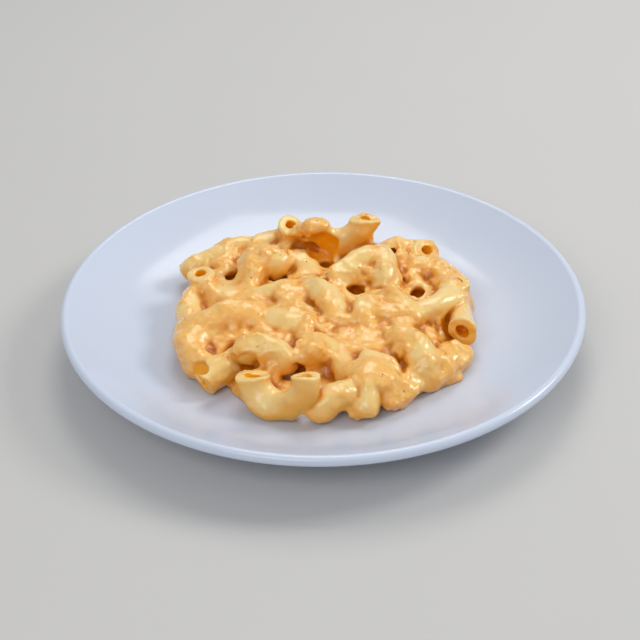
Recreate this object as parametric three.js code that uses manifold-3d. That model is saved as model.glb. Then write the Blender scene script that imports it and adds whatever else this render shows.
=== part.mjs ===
// Mac and cheese on its plate: a white coupe plate and one heap of elbow macaroni in sauce.
// Millimetres, +Z up. The origin is on the plate's axis, on the plane that its foot stands on.

import * as THREE from 'three';
import { mergeVertices } from 'three/addons/utils/BufferGeometryUtils.js';
import Module from 'manifold-3d';

const wasm = await Module();
wasm.setup();

// ---- Driving dimensions of the plate ----
const PLATE_RADIUS = 100.3;
const PLATE_HEIGHT = 21.5;
const FLOOR_HEIGHT = 6.5;
const FLOOR_RADIUS = 60;
const LIP_RADIUS = 2;
const WALL = 4;
const FOOT_OUTER = 57;
const FOOT_INNER = 53;
const FOOT_RECESS = 2;
const FOOT_LIFT = 1.6;
const FOOT_FLARE = 2;
const FOOT_BEVEL = 1;
const PLATE_SIDES = 64;
const SLOPE_POINTS = 6;
const LIP_POINTS = 6;

// How the outline's two long curves set off and arrive: steps in radius and height from their ends.
// The slope meets the lip at a spot that is counted in lip radii, and the lip turns from there.
const SLOPE_SETS_OFF = [17, 0.6];
const SLOPE_ARRIVES = [13, 6.8];
const LIP_JOINS_SLOPE = [-0.8, 0.6];
const LIP_TURN = [120, -60];
const BACK_START = [2.6, 2.4];
const BACK_SETS_OFF = [9, 7.4];
const BACK_ARRIVES = [22, 0.2];

// ---- Driving dimensions of the macaroni ----
const TUBE_DIAMETER = 10.6;
const TUBE_RADIUS = TUBE_DIAMETER / 2;
const BORE_DIAMETER = 4.5;
const BORE_DEPTH = 7;
const CUT_LENGTH = 29;
const TUBE_SIDES = 9;
const TUBE_STEP_ANGLE = 23;
const BORE_SIDES = 7;
const BORE_STEPS = 1;
const MOUTH_OVERRUN = 0.6;

// ---- Driving dimensions of the sauced core and of the gap that it keeps to the plate ----
const CORE = { halfX: 52, halfY: 42, middle: [0, -2], height: 13.5, squareness: 2.7 };
const APRON = { halfX: 34, halfY: 14, middle: [0, -40], height: 6, squareness: 2.4 };
const CORE_SINK = 3;
const CORE_BASE = FLOOR_HEIGHT - CORE_SINK;
const CORE_SIDES = 32;
const CORE_RINGS = 7;
const RING_CROWDING = 0.35;
const CROWN_REACH = 4.3;
const CROWN_RISE = 2.38;
const HOLLOW_SIDES = 8;
const HOLLOW_RINGS = 6;
const REST_GAP = 0.3;
const SEAM = 1e-4;

// The heap is laid out in tube radii: across and back from the plate's axis, and up from its floor,
// so an elbow at 1 lies on the floor and one at 2 or 3 lies on others.
const inMillimetres = ([across, back, up]) => [
  across * TUBE_RADIUS, back * TUBE_RADIUS, FLOOR_HEIGHT + up * TUBE_RADIUS,
];

// Each elbow is placed by the middle of its bend. heading and climb turn the tube there, roll turns
// the side that it curls to (0 is an arch, 180 a cup), bend is how far it curls and cut how long it is.
// mouths says which ends are open, by 'first', 'last', 'both' or 'none'.
const elbow = (spot, heading, climb, roll, bend, mouths = 'none', cut = CUT_LENGTH) =>
  ({ at: inMillimetres(spot), heading, climb, roll, bend, mouths, cut });

const BACK_ROW = [
  elbow([-8, 6, 1.75], 0, 0, -30, 90, 'none', 27),
  elbow([-6, 7.5, 2], 15, 0, -30, 105, 'last'),
  elbow([-4, 8, 2.25], 30, 0, -30, 105),
  elbow([-2.5, 7.5, 1.5], 90, 60, 180, 90, 'last'),
  elbow([-1.25, 7.5, 2.25], 15, 0, -30, 90),
  elbow([1.5, 6.5, 3.25], 0, 0, 165, 180, 'last', 30),
  elbow([2, 7.25, 1.75], 0, 0, 0, 60, 'none', 22),
  elbow([6.25, 6.5, 2.25], -165, 15, 0, 105, 'none', 20),
  elbow([6.25, 6, 1.75], 15, 15, -120, 75, 'last', 20),
  elbow([9, 3.5, 1.75], -75, 0, -30, 90, 'none', 24),
];

const TOP_ROW = [
  elbow([-7.75, 3.25, 1], -150, 30, 180, 105, 'last'),
  elbow([-4.25, 4, 3], 0, 0, -30, 75, 'none', 19),
  elbow([-5, 2.5, 2.25], 90, 30, 0, 60),
  elbow([-3, 1, 2.25], 15, 0, -30, 90),
  elbow([-7, 1, 1.75], -30, 0, 0, 90),
  elbow([-1.5, 4.5, 2.25], -75, 0, 0, 90),
  elbow([2.5, 3, 3.5], 45, 0, 0, 135, 'none', 28),
  elbow([4.5, 3, 3.25], 90, 0, 0, 105),
  elbow([8.75, 3.75, 1.75], 165, 15, 90, 75, 'last', 24),
  elbow([3, -2.25, 2], -90, 90, 0, 15, 'none', 16),
  elbow([1.75, -1.25, 2], -75, 0, 0, 60, 'none', 20),
  elbow([5.25, -1.5, 2.5], -45, 0, -30, 60, 'none', 26),
  elbow([4.5, -2.75, 2], -45, 0, -30, 60, 'none', 24),
  elbow([0, -0.5, 2.75], -60, 0, -30, 105),
  elbow([-1.75, -1.5, 2], -60, 0, -30, 90),
  elbow([8.5, -1.25, 2.5], -135, 0, -45, 90),
  elbow([-7, -2.5, 2.5], 15, 0, -15, 105),
  elbow([-4.25, -2, 1.75], -75, 0, 0, 90),
  elbow([-2.25, -3.25, 2.25], -30, 0, -15, 90, 'none', 24),
  elbow([3, -4.25, 1.25], -90, 0, 0, 75),
  elbow([5.25, -4.25, 2], -75, 0, 0, 90),
];

const LEFT_SIDE = [
  elbow([-9.5, 0, 1.5], 90, 0, -30, 90),
  elbow([-8.5, -3.75, 1.75], 30, 0, -15, 90, 'none', 20),
  elbow([-9.25, -5, 1], -75, 0, 90, 75, 'none', 26),
  elbow([-7, -7, 1.25], -135, 0, 0, 30, 'last', 20),
];

const RIGHT_SIDE = [
  elbow([10, 0.75, 1], 90, 60, 180, 60, 'last', 20),
  elbow([9.75, -1.5, 1.25], -75, 15, -90, 60, 'last'),
  elbow([6.5, -6.25, 2], -75, 0, 0, 120, 'none', 24),
  elbow([8, -6.5, 0.75], 30, 0, 90, 60, 'none', 24),
];

const FRONT_ROW = [
  elbow([-4, -6.5, 2.5], -15, 0, -15, 165, 'none', 25),
  elbow([-4, -7.25, 1.25], 90, 30, 0, 30, 'none', 16),
  elbow([-1, -6.25, 1.75], -60, 30, 0, 60, 'none', 16),
  elbow([-0.5, -5.5, 1.75], -30, 0, -30, 90, 'none', 20),
  elbow([1.5, -7.75, 1.25], -75, 0, 0, 90, 'none', 24),
  elbow([4, -8, 1.75], -45, -15, -30, 75, 'none', 18),
  elbow([-3, -11, 1], -30, 15, 165, 180, 'both', 36),
  elbow([0.75, -10.75, 1.5], 30, 0, 0, 135, 'none', 22),
  elbow([2.75, -9.75, 1.5], -90, -15, 0, 75, 'none', 22),
  elbow([5.75, -8.75, 1], 45, 0, 90, 60, 'none', 26),
  elbow([4.5, -8.5, 1], -60, 0, 0, 60, 'none', 22),
];

// The back and the flanks are filled by rings of elbows, laid round the heap and turned at random.
// In an open ring every other elbow has an open end.
const RINGS = [
  { count: 9, from: 15, to: 165, across: 9.5, back: 7.75, up: 1, open: true },
  { count: 7, from: 10, to: 160, across: 7.5, back: 6.25, up: 1.75, open: false },
];
const RING_MIDDLE = CORE.middle[1] / TUBE_RADIUS;
const RING_SEED = 11;
const DRAW_FACTOR = 1664525;
const DRAW_STEP = 1013904223;
const RING_LIFT = 0.2;
const RING_TURN = 40;
const RING_CLIMB = 15;
const RING_ROLL = [-70, 20];
const RING_BEND = [70, 130];

// Hollows between the elbows: the middle and radius of the ball that each is scooped by, in tube radii.
const HOLLOWS = [
  { spot: [-6.5, 3.5, 1.5], radius: 1.25 },
  { spot: [-3.5, 3, 2.25], radius: 1 },
  { spot: [2.25, 0.75, 2.25], radius: 1 },
  { spot: [0.25, 5.5, 2], radius: 0.75 },
  { spot: [7, 0.75, 2.25], radius: 1 },
  { spot: [-5, -7.25, 2], radius: 0.75 },
  { spot: [-2.5, -7.25, 1.5], radius: 1 },
  { spot: [-6.75, -6.25, 1.75], radius: 1.25 },
  { spot: [1, -10.75, 0.5], radius: 0.75 },
];

// Places where an elbow has torn open: these are scooped out of the elbows that show too.
const TORN = [
  { spot: [0, 5.5, 3.25], radius: 1.25 },
  { spot: [0.25, 5, 2.25], radius: 0.75 },
  { spot: [5.25, 5.5, 2.25], radius: 0.75 },
  { spot: [-8.5, -8, 1.75], radius: 0.75 },
];

const radians = THREE.MathUtils.degToRad;

// ---- Solids ----

function solidFrom(geometry) {
  const bare = geometry.index ? geometry.clone() : geometry;
  bare.deleteAttribute('normal');
  bare.deleteAttribute('uv');
  const merged = mergeVertices(bare, SEAM);
  const corners = merged.index.array;
  const whole = [];
  for (let i = 0; i < corners.length; i += 3) {
    const [a, b, c] = corners.slice(i, i + 3);
    if (a !== b && b !== c && c !== a) whole.push(a, b, c);
  }
  return new wasm.Manifold(new wasm.Mesh({
    numProp: 3,
    vertProperties: Float32Array.from(merged.attributes.position.array),
    triVerts: Uint32Array.from(whole),
  }));
}

function geometryFrom(solid) {
  const mesh = solid.getMesh();
  const geometry = new THREE.BufferGeometry();
  geometry.setAttribute('position', new THREE.BufferAttribute(mesh.vertProperties, 3));
  geometry.setIndex(new THREE.BufferAttribute(mesh.triVerts, 1));
  geometry.computeVertexNormals();
  return geometry;
}

// Keeps the largest body: this drops loose scraps and fills the voids that joining has sealed.
function largestBody(solid) {
  const bodies = solid.decompose();
  return bodies.reduce((best, body) => (body.volume() > best.volume() ? body : best));
}

// ---- Plate ----

// The outline runs from the axis over the floor, up the slope, round the lip and back underneath.
function plateOutline() {
  const lipMiddle = new THREE.Vector2(PLATE_RADIUS - LIP_RADIUS, PLATE_HEIGHT - LIP_RADIUS);
  const slope = new THREE.CubicBezierCurve(
    new THREE.Vector2(FLOOR_RADIUS, FLOOR_HEIGHT),
    new THREE.Vector2(FLOOR_RADIUS + SLOPE_SETS_OFF[0], FLOOR_HEIGHT + SLOPE_SETS_OFF[1]),
    new THREE.Vector2(PLATE_RADIUS - SLOPE_ARRIVES[0], PLATE_HEIGHT - SLOPE_ARRIVES[1]),
    new THREE.Vector2(...LIP_JOINS_SLOPE).multiplyScalar(LIP_RADIUS).add(lipMiddle),
  );
  const lip = new THREE.EllipseCurve(
    lipMiddle.x, lipMiddle.y, LIP_RADIUS, LIP_RADIUS, ...LIP_TURN.map(radians), true,
  );
  const back = new THREE.CubicBezierCurve(
    new THREE.Vector2(PLATE_RADIUS - BACK_START[0], lipMiddle.y - BACK_START[1]),
    new THREE.Vector2(PLATE_RADIUS - BACK_SETS_OFF[0], lipMiddle.y - BACK_SETS_OFF[1]),
    new THREE.Vector2(FOOT_OUTER + BACK_ARRIVES[0], FLOOR_HEIGHT - WALL + BACK_ARRIVES[1]),
    new THREE.Vector2(FOOT_OUTER + FOOT_FLARE, FOOT_LIFT),
  );
  return [
    new THREE.Vector2(0, FLOOR_HEIGHT),
    ...slope.getPoints(SLOPE_POINTS),
    ...lip.getPoints(LIP_POINTS),
    ...back.getPoints(SLOPE_POINTS),
    new THREE.Vector2(FOOT_OUTER, 0),
    new THREE.Vector2(FOOT_INNER, 0),
    new THREE.Vector2(FOOT_INNER - FOOT_BEVEL, FOOT_RECESS),
    new THREE.Vector2(0, FOOT_RECESS),
  ];
}

function plateSolid() {
  const lathe = new THREE.LatheGeometry(plateOutline().reverse(), PLATE_SIDES);
  lathe.rotateX(Math.PI / 2);
  return solidFrom(lathe);
}

// ---- Macaroni ----

class Bend extends THREE.Curve {
  constructor({ at, heading, climb, roll, bend, cut }, start = -0.5, end = 0.5) {
    super();
    const turn = radians(heading);
    const rise = radians(climb);
    const side = new THREE.Vector3(-Math.sin(turn), Math.cos(turn), 0);
    this.along = new THREE.Vector3(
      Math.cos(rise) * Math.cos(turn), Math.cos(rise) * Math.sin(turn), Math.sin(rise),
    );
    const up = new THREE.Vector3().crossVectors(this.along, side);
    const lean = radians(roll);
    this.inward = up.multiplyScalar(-Math.cos(lean)).addScaledVector(side, Math.sin(lean));
    this.radius = cut / radians(bend);
    this.middle = new THREE.Vector3(...at).addScaledVector(this.inward, this.radius);
    this.from = radians(bend) * start;
    this.to = radians(bend) * end;
  }

  getPoint(t, target = new THREE.Vector3()) {
    const angle = this.from + (this.to - this.from) * t;
    return target.copy(this.middle)
      .addScaledVector(this.inward, -this.radius * Math.cos(angle))
      .addScaledVector(this.along, this.radius * Math.sin(angle));
  }
}

function ringShape(diameter, sides) {
  const corners = Array.from({ length: sides }, (_, i) => {
    const angle = ((i + 0.5) / sides) * 2 * Math.PI;
    return new THREE.Vector2(Math.cos(angle), Math.sin(angle)).multiplyScalar(diameter / 2);
  });
  return new THREE.Shape(corners);
}

const tube = (curve, diameter, sides, steps) => solidFrom(
  new THREE.ExtrudeGeometry(ringShape(diameter, sides), { steps, extrudePath: curve }),
);

const elbowTube = (place) => tube(
  new Bend(place), TUBE_DIAMETER, TUBE_SIDES, Math.ceil(place.bend / TUBE_STEP_ANGLE),
);

// The bores of an elbow's open ends, each a little longer than the end so that the cut is clean.
function elbowBores(place) {
  const depth = BORE_DEPTH / place.cut;
  const overrun = MOUTH_OVERRUN / place.cut;
  const stretches = {
    first: [[-0.5 - overrun, -0.5 + depth]],
    last: [[0.5 - depth, 0.5 + overrun]],
    none: [],
  };
  stretches.both = [...stretches.first, ...stretches.last];
  return stretches[place.mouths].map(
    ([start, end]) => tube(new Bend(place, start, end), BORE_DIAMETER, BORE_SIDES, BORE_STEPS),
  );
}

// A small fixed sequence of draws, the same on every run.
function drawer(seed) {
  let state = seed;
  return (low, high) => {
    state = (Math.imul(state, DRAW_FACTOR) + DRAW_STEP) >>> 0;
    return low + ((high - low) * state) / 2 ** 32;
  };
}

function ringElbow({ count, from, to, across, back, up, open }, i, draw) {
  const bearing = from + ((to - from) * (i + 0.5)) / count;
  const spot = [
    across * Math.cos(radians(bearing)),
    back * Math.sin(radians(bearing)) + RING_MIDDLE,
    up + draw(-RING_LIFT, RING_LIFT),
  ];
  const heading = bearing + 90 + draw(-RING_TURN, RING_TURN);
  const climb = draw(-RING_CLIMB, RING_CLIMB);
  const roll = draw(...RING_ROLL);
  const mouths = open && i % 2 === 1 ? 'last' : 'none';
  return elbow(spot, heading, climb, roll, draw(...RING_BEND), mouths);
}

function ringElbows() {
  const draw = drawer(RING_SEED);
  return RINGS.flatMap((ring) => Array.from({ length: ring.count }, (_, i) => ringElbow(ring, i, draw)));
}

// ---- Core ----

// A crowned mound: a lathe of the crown's profile, then squared in plan.
function moundSolid({ halfX, halfY, middle, height, squareness }) {
  const profile = [new THREE.Vector2(0, CORE_BASE), new THREE.Vector2(1, CORE_BASE)];
  for (let i = 0; i <= CORE_RINGS; i += 1) {
    const reach = Math.cos((i / CORE_RINGS) * (Math.PI / 2)) ** RING_CROWDING;
    const rise = height * (1 - reach ** CROWN_REACH) ** (1 / CROWN_RISE);
    profile.push(new THREE.Vector2(i === CORE_RINGS ? 0 : reach, FLOOR_HEIGHT + rise));
  }
  const mound = new THREE.LatheGeometry(profile, CORE_SIDES);
  mound.rotateX(Math.PI / 2);
  const corner = new THREE.Vector3();
  const places = mound.attributes.position;
  for (let i = 0; i < places.count; i += 1) {
    corner.fromBufferAttribute(places, i);
    const reach = Math.hypot(corner.x, corner.y);
    const angle = Math.atan2(corner.y, corner.x);
    const square = (Math.abs(Math.cos(angle)) ** squareness + Math.abs(Math.sin(angle)) ** squareness)
      ** (-1 / squareness);
    places.setXYZ(
      i,
      halfX * reach * square * Math.cos(angle) + middle[0],
      halfY * reach * square * Math.sin(angle) + middle[1],
      corner.z,
    );
  }
  return solidFrom(mound);
}

function hollowSolid({ spot, radius }) {
  const ball = new THREE.SphereGeometry(radius * TUBE_RADIUS, HOLLOW_SIDES, HOLLOW_RINGS);
  ball.translate(...inMillimetres(spot));
  return solidFrom(ball);
}

// ---- Assembly ----

const plate = plateSolid();

const join = (start, places) => places.reduce((rest, place) => rest.add(elbowTube(place)), start);

// The core and the elbows packed in it are hollowed first, and then the elbows that show go on top.
function heapSolid() {
  const shown = [...BACK_ROW, ...TOP_ROW, ...LEFT_SIDE, ...RIGHT_SIDE, ...FRONT_ROW];
  const packed = ringElbows();
  const filling = join(moundSolid(CORE).add(moundSolid(APRON)), packed);
  const hollowed = HOLLOWS.reduce((rest, hollow) => rest.subtract(hollowSolid(hollow)), filling);
  const openings = [...[...shown, ...packed].flatMap(elbowBores), ...TORN.map(hollowSolid)];
  const bored = openings.reduce((rest, opening) => rest.subtract(opening), join(hollowed, shown));
  // The heap follows the plate, so it is cut by the plate's own form, raised by the gap between them.
  const raised = plate.translate([0, 0, REST_GAP]);
  const under = solidFrom(new THREE.CylinderGeometry(PLATE_RADIUS, PLATE_RADIUS, FLOOR_HEIGHT, PLATE_SIDES)
    .rotateX(Math.PI / 2).translate(0, 0, REST_GAP + (FLOOR_HEIGHT / 2) - FOOT_RECESS));
  return largestBody(bored.subtract(under).subtract(raised));
}

const meal = new THREE.Group();

function addNode(name, solid, look) {
  const node = new THREE.Mesh(geometryFrom(solid), new THREE.MeshStandardMaterial(look));
  node.name = name;
  meal.add(node);
}

addNode('plate', plate, { color: 0xeef0f2, roughness: 0.12, metalness: 0 });
addNode('macaroni_heap', heapSolid(), { color: 0xf0bc6a, roughness: 0.3, metalness: 0 });

export default meal;
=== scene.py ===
# %% [markdown]
# # Mac and cheese on a white plate
#
# This lesson builds one helping of elbow macaroni in cheese sauce, heaped on a glazed coupe plate.
# There are two big pieces and two kinds of seasoning. The plate is turned from one outline. The heap
# is a single skin over more than sixty bent tubes and the thick sauce between them. Sizes are worked
# out in millimetres and turned into Blender's metres at the last moment.

# %% The frame, and the box of the CAD pieces
import math

import bpy
import numpy as np
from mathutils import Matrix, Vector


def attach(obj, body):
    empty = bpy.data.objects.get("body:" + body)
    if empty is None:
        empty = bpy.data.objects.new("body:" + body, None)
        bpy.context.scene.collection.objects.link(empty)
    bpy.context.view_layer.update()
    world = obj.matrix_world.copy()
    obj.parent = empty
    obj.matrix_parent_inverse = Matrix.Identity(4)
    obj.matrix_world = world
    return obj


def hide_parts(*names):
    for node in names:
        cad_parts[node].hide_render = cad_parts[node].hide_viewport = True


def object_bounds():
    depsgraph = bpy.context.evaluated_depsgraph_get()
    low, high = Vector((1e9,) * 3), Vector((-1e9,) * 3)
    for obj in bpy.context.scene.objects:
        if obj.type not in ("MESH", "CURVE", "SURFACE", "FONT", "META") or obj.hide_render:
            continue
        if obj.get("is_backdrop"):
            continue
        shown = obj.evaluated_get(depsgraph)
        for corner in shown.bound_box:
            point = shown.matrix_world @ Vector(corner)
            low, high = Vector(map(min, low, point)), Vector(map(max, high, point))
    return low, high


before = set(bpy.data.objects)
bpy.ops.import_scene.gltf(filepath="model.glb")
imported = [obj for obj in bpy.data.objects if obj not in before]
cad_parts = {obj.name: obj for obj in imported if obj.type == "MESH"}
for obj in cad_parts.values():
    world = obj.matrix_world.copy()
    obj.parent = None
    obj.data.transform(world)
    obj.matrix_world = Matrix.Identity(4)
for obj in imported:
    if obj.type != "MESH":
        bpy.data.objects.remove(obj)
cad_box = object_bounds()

import openvdb
from mathutils import Matrix, Vector

MM = 0.001
BODY = "root"


def show_size(title, low, high):
    """Prints the size of a box whose corners are in metres."""
    sides = [f"{(b - a) / MM:.1f}" for a, b in zip(low, high)]
    print(f"{title}: {' x '.join(sides)} mm")


show_size("CAD box", *cad_box)

# %% [markdown]
# ## The camera
#
# A long lens from a little more than half a metre keeps the plate's ellipse calm, as in a studio
# picture of food. A camera could be aimed with a constraint, but a matrix built from the line of
# sight is just as short, and it also takes the slight tilt of a camera held by hand.

# %% Camera
AIM = Vector((-1.2, 0.0, 9.0))
DISTANCE = 550.0
VIEW_WIDTH = 249.72
LOOK_DOWN = math.radians(34.0)
ROLL = math.radians(-0.86)
HALF_VIEW = math.atan(VIEW_WIDTH / 2 / DISTANCE)
SENSOR = 36.0


def place_camera():
    back = Vector((0, -math.cos(LOOK_DOWN), math.sin(LOOK_DOWN)))
    level = Vector((1, 0, 0))
    up = back.cross(level)
    right = level * math.cos(ROLL) + up * math.sin(ROLL)
    top = up * math.cos(ROLL) - level * math.sin(ROLL)
    lens = bpy.data.cameras.new("table_camera")
    lens.sensor_width = SENSOR
    lens.lens = SENSOR / 2 / math.tan(HALF_VIEW)
    camera = bpy.data.objects.new("table_camera", lens)
    bpy.context.scene.collection.objects.link(camera)
    place = Matrix((right, top, back)).transposed().to_4x4()
    place.translation = (AIM + back * DISTANCE) * MM
    camera.matrix_world = place
    bpy.context.scene.camera = camera
    print(f"camera with a {lens.lens:.1f} mm lens, {DISTANCE:.0f} mm from the plate")


place_camera()

# %% [markdown]
# ## Light
#
# Food looks moist when a big soft light stands behind it: its reflection runs along every wet
# ridge, and it also shows in the glaze behind the heap. A smaller one on the right models the tubes,
# one near the camera opens the front, and a pale sky fills the rest. Small lamps would give hard
# sparks instead. The softboxes' places and sizes are in metres.

# %% Lights
SKY_COLOUR = (0.92, 0.96, 1.0)
SKY_STRENGTH = 0.46
PLATE_MIDDLE = Vector((0.0, 0.0, 0.01))
SOFTBOXES = {
    "key_behind": {
        "place": (0.06, 0.52, 0.88), "size": (0.46, 0.54), "watts": 2.8, "colour": (1.0, 0.98, 0.95),
    },
    "side_right": {
        "place": (0.85, 0.22, 0.72), "size": (0.34, 0.34), "watts": 4.0, "colour": (1.0, 0.98, 0.94),
    },
    "fill_front": {
        "place": (-0.35, -0.85, 0.85), "size": (0.7, 0.5), "watts": 3.5, "colour": (1.0, 0.98, 0.95),
    },
}


def add_softbox(name, place, size, watts, colour):
    light = bpy.data.lights.new(name, "AREA")
    light.shape = "RECTANGLE"
    light.size, light.size_y = size
    light.energy = watts
    light.color = colour
    lamp = bpy.data.objects.new(name, light)
    bpy.context.scene.collection.objects.link(lamp)
    lamp.location = place
    lamp.rotation_euler = (PLATE_MIDDLE - lamp.location).to_track_quat("-Z", "Y").to_euler()


def light_the_sky():
    sky = bpy.data.worlds.new("pale_sky")
    sky.use_nodes = True
    background = sky.node_tree.nodes["Background"]
    background.inputs["Color"].default_value = (*SKY_COLOUR, 1)
    background.inputs["Strength"].default_value = SKY_STRENGTH
    bpy.context.scene.world = sky


for softbox, facts in SOFTBOXES.items():
    add_softbox(softbox, **facts)
light_the_sky()
bpy.context.scene.view_settings.view_transform = "Standard"

# %% [markdown]
# ## Node trees in Python
#
# Materials and Geometry Nodes are both trees of nodes. One class stands for a tree and makes a node
# from its type, its settings and what goes into its sockets. Another wraps an output, so that
# `1 - mask` or `ridge * 0.5` adds the Math node by itself, and a formula reads as it would on paper.

# %% Helpers for node trees
MIX_FACTOR, MIX_A, MIX_B, MIX_RESULT = 0, 6, 7, 2


class Wire:
    """A number or colour that comes out of a node, ready for sums."""

    def __init__(self, tree, socket):
        self.tree = tree
        self.socket = socket

    def maths(self, operation, first, second):
        return self.tree.node("ShaderNodeMath", {"operation": operation}, {0: first, 1: second})

    def __add__(self, other):
        return self.maths("ADD", self, other)

    def __sub__(self, other):
        return self.maths("SUBTRACT", self, other)

    def __rsub__(self, other):
        return self.maths("SUBTRACT", other, self)

    def __mul__(self, other):
        return self.maths("MULTIPLY", self, other)

    __radd__ = __add__


class Tree:
    """A node tree that is written as a list of nodes."""

    def __init__(self, tree):
        self.tree = tree

    def node(self, kind, settings=None, sockets=None, output=0):
        made = self.tree.nodes.new(kind)
        for name, value in (settings or {}).items():
            if name == "stops":
                self.set_stops(made.color_ramp, value)
            else:
                setattr(made, name, value)
        for name, value in (sockets or {}).items():
            if isinstance(value, Wire):
                self.tree.links.new(value.socket, made.inputs[name])
            else:
                made.inputs[name].default_value = value
        return Wire(self, made.outputs[output]) if made.outputs else None

    def set_stops(self, ramp, stops):
        while len(ramp.elements) < len(stops):
            ramp.elements.new(1)
        for element, (position, colour) in zip(ramp.elements, stops):
            element.position = position
            element.color = (*colour, 1)

    def mix(self, share, first, second):
        """A colour between two, or from a colour to a wire."""
        sides = {MIX_A: first, MIX_B: second}
        colours = {k: v if isinstance(v, Wire) else (*v, 1) for k, v in sides.items()}
        settings = {"data_type": "RGBA", "clamp_factor": True}
        return self.node("ShaderNodeMix", settings, {MIX_FACTOR: share, **colours}, MIX_RESULT)

    def between(self, value, low, high):
        """0 below low, 1 above high, and a soft climb from one to the other."""
        settings = {"interpolation_type": "SMOOTHSTEP"}
        sockets = {"Value": value, "From Min": low, "From Max": high}
        return self.node("ShaderNodeMapRange", settings, sockets)


def new_material(name, make):
    """A material whose shader is what `make` returns, the sockets of a Principled BSDF."""
    material = bpy.data.materials.new(name)
    material.use_nodes = True
    material.node_tree.nodes.clear()
    tree = Tree(material.node_tree)
    shader = tree.node("ShaderNodeBsdfPrincipled", {}, make(tree))
    tree.node("ShaderNodeOutputMaterial", {}, {"Surface": shader})
    return material


def from_screen(red, green, blue):
    """A colour picked on a screen, from 0 to 255, as linear light, by the usual screen curve."""
    parts = [c / 255 for c in (red, green, blue)]
    return tuple(c / 12.92 if c <= 0.04045 else ((c + 0.055) / 1.055) ** 2.4 for c in parts)


def as_settled_mesh(name, maker):
    """Turns an object with modifiers into a plain mesh object, and drops the maker."""
    graph = bpy.context.evaluated_depsgraph_get()
    mesh = bpy.data.meshes.new_from_object(maker.evaluated_get(graph), depsgraph=graph)
    bpy.data.objects.remove(maker)
    mesh.name = name
    piece = bpy.data.objects.new(name, mesh)
    bpy.context.scene.collection.objects.link(piece)
    return piece


def count_triangles(mesh):
    mesh.calc_loop_triangles()
    return len(mesh.loop_triangles)


# %% [markdown]
# ## The floor
#
# A plain pale surface, wide enough to fill the view from every side. It isn't part of the object,
# so it only needs a matt finish with a trace of unevenness.

# %% Floor
FLOOR_COLOUR = (0.60, 0.59, 0.58)
FLOOR_LIGHTENING = 1.03
FLOOR_REACH = 4.0


def floor_finish(tree):
    where = tree.node("ShaderNodeTexCoord", {}, {}, "Object")
    cloud = tree.node("ShaderNodeTexNoise", {}, {"Vector": where, "Scale": 9.0, "Detail": 3.0})
    lighter = tuple(c * FLOOR_LIGHTENING for c in FLOOR_COLOUR)
    return {"Base Color": tree.mix(cloud, FLOOR_COLOUR, lighter), "Roughness": 0.6}


def lay_floor():
    mesh = bpy.data.meshes.new("floor")
    corners = [(x, y, 0) for x, y in ((-1, -1), (1, -1), (1, 1), (-1, 1))]
    mesh.from_pydata([tuple(c * FLOOR_REACH for c in corner) for corner in corners], [], [(0, 1, 2, 3)])
    floor = bpy.data.objects.new("floor", mesh)
    bpy.context.scene.collection.objects.link(floor)
    floor.data.materials.append(new_material("pale_floor", floor_finish))
    floor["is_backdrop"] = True


lay_floor()

# %% [markdown]
# ## The plate
#
# A coupe plate has no separate rim: its floor climbs in one easy curve to a rounded lip. On the
# potter's wheel it is one outline turned round an axis. The Screw modifier or a spin could do that.
# Here Geometry Nodes sweep the outline round a circle, and the sizes are named inputs.

# %% Outline of the plate
PLATE_RADIUS = 100.3
PLATE_HEIGHT = 21.5
FLOOR_HEIGHT = 6.5
FLOOR_RADIUS = 60.0
LIP_RADIUS = 2.0
WALL = 4.0
FOOT_OUTER = 57.0
FOOT_INNER = 53.0
FOOT_RECESS = 2.0
FOOT_LIFT = 1.6
FOOT_FLARE = 2.0
FOOT_BEVEL = 1.0
FOOT_SOFTENING = 0.5
RECESS_RADIUS = 49.0
LIP_SHRINK = 0.04
CURVE_POINTS = 22
LIP_POINTS = 18
FLAT_POINTS = 6

# How the outline's two long curves set off and arrive: steps in radius and height from their ends.
# The slope meets the lip at a spot that is counted in lip radii, and the lip turns from near there.
SLOPE_SETS_OFF = (17, 0.6)
SLOPE_ARRIVES = (13, 6.8)
LIP_JOINS_SLOPE = (-0.8, 0.6)
LIP_TURN = (130, -60)
BACK_START = (2.6, 2.4)
BACK_SETS_OFF = (9, 7.4)
BACK_ARRIVES = (22, 0.2)


def bezier(a, b, c, d, count):
    """Points along a cubic curve from a to d, with b and c as its handles."""
    t = np.linspace(0, 1, count)[:, None]
    a, b, c, d = (np.array(p, float) for p in (a, b, c, d))
    return a * (1 - t) ** 3 + 3 * b * t * (1 - t) ** 2 + 3 * c * t ** 2 * (1 - t) + d * t ** 3


LIP_MIDDLE = np.array((PLATE_RADIUS - LIP_RADIUS, PLATE_HEIGHT - LIP_RADIUS))
SLOPE = bezier(
    (FLOOR_RADIUS, FLOOR_HEIGHT),
    (FLOOR_RADIUS + SLOPE_SETS_OFF[0], FLOOR_HEIGHT + SLOPE_SETS_OFF[1]),
    (PLATE_RADIUS - SLOPE_ARRIVES[0], PLATE_HEIGHT - SLOPE_ARRIVES[1]),
    LIP_MIDDLE + np.array(LIP_JOINS_SLOPE) * LIP_RADIUS,
    CURVE_POINTS,
)


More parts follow.
